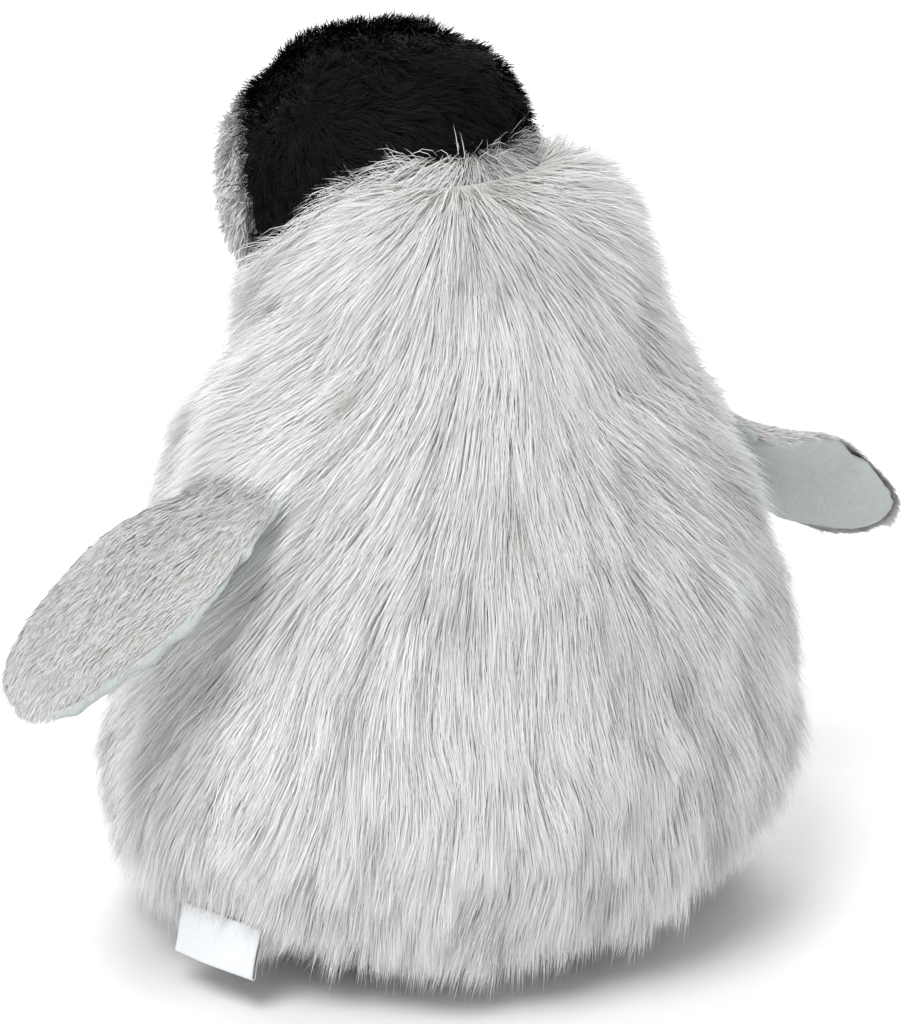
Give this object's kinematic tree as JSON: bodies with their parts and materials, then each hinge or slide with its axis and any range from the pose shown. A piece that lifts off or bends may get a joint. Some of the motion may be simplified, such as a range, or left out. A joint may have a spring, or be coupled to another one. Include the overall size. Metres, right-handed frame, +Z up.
{
  "type": "plush penguin",
  "caption": "Seated plush penguin chick with a shaggy silver-grey coat, black head cap, white cheeks, padded flippers, small feet and a folded label in the base seam.",
  "frame": {"origin": "centre of the flat face under the body, on the surface the toy sits on", "axes": "+Z up; the toy faces -Y; its left side is +X"},
  "size_m": [0.2818, 0.1868, 0.233],
  "materials": {
    "fur_grey": "matte",
    "fur_pale": "matte",
    "fur_base": "matte",
    "fur_black": "matte",
    "plush_white": "matte",
    "beak_cloth": "matte",
    "eye": "gloss",
    "washer": "matte",
    "stuffing": "matte",
    "pouch": "matte",
    "pellets": "matte",
    "thread": "matte",
    "flipper_pile": "matte",
    "flipper_lining": "matte",
    "foot_cloth": "matte",
    "label": "satin"
  },
  "bodies": {
    "torso": {"back_panel_left": "fur_grey", "back_panel_right": "fur_grey", "belly_panel": "fur_pale", "base_panel": "fur_base", "base_seam_thread": "thread", "body_stuffing": "stuffing", "pellet_pouch": "pouch", "pellet_fill": "pellets"},
    "neck": {"neck_stuffing": "stuffing"},
    "head": {"head_cap_left": "fur_black", "head_cap_right": "fur_black", "cheek_patch_left": "plush_white", "cheek_patch_right": "plush_white", "chin_patch": "plush_white", "beak_upper": "beak_cloth", "beak_lower": "beak_cloth", "eye_left": "eye", "eye_right": "eye", "eye_washer_left": "washer", "eye_washer_right": "washer", "head_stuffing": "stuffing"},
    "flipper_left": {"flipper_outer_left": "flipper_pile", "flipper_lining_left": "flipper_lining", "flipper_padding_left": "stuffing"},
    "flipper_right": {"flipper_outer_right": "flipper_pile", "flipper_lining_right": "flipper_lining", "flipper_padding_right": "stuffing"},
    "foot_left": {"foot_upper_left": "foot_cloth", "foot_sole_left": "foot_cloth", "foot_padding_left": "stuffing"},
    "foot_right": {"foot_upper_right": "foot_cloth", "foot_sole_right": "foot_cloth", "foot_padding_right": "stuffing"},
    "label": {"brand_label": "label"}
  },
  "joints": [
    {"name": "head_turn", "type": "hinge", "parent": "torso", "child": "neck", "pos_m": [0, -0.028, 0.191], "axis": [0, -0.7071, 0.7071], "range_deg": [-45, 45], "stiffness_Nm_per_rad": 0.05},
    {"name": "head_nod", "type": "hinge", "parent": "neck", "child": "head", "pos_m": [0, -0.028, 0.191], "axis": [1, 0, 0], "range_deg": [-12, 15], "stiffness_Nm_per_rad": 0.08},
    {"name": "flipper_left_swing", "type": "hinge", "parent": "torso", "child": "flipper_left", "pos_m": [0.0785, 0.01, 0.128], "axis": [0, -1, 0], "range_deg": [-30, 70], "stiffness_Nm_per_rad": 0.02},
    {"name": "flipper_right_swing", "type": "hinge", "parent": "torso", "child": "flipper_right", "pos_m": [-0.081, 0.01, 0.118], "axis": [0, 1, 0], "range_deg": [-18, 75], "stiffness_Nm_per_rad": 0.02},
    {"name": "foot_left_lift", "type": "hinge", "parent": "torso", "child": "foot_left", "pos_m": [0.027, -0.074, 0.003], "axis": [-1, 0, 0], "range_deg": [0, 20], "stiffness_Nm_per_rad": 0.01},
    {"name": "foot_right_lift", "type": "hinge", "parent": "torso", "child": "foot_right", "pos_m": [-0.027, -0.074, 0.003], "axis": [-1, 0, 0], "range_deg": [0, 20], "stiffness_Nm_per_rad": 0.01},
    {"name": "label_flip", "type": "hinge", "parent": "torso", "child": "label", "pos_m": [0.0848, 0.014, 0.0195], "axis": [0.1908, -0.9816, 0], "range_deg": [-3, 60], "stiffness_Nm_per_rad": 0.001}
  ]
}
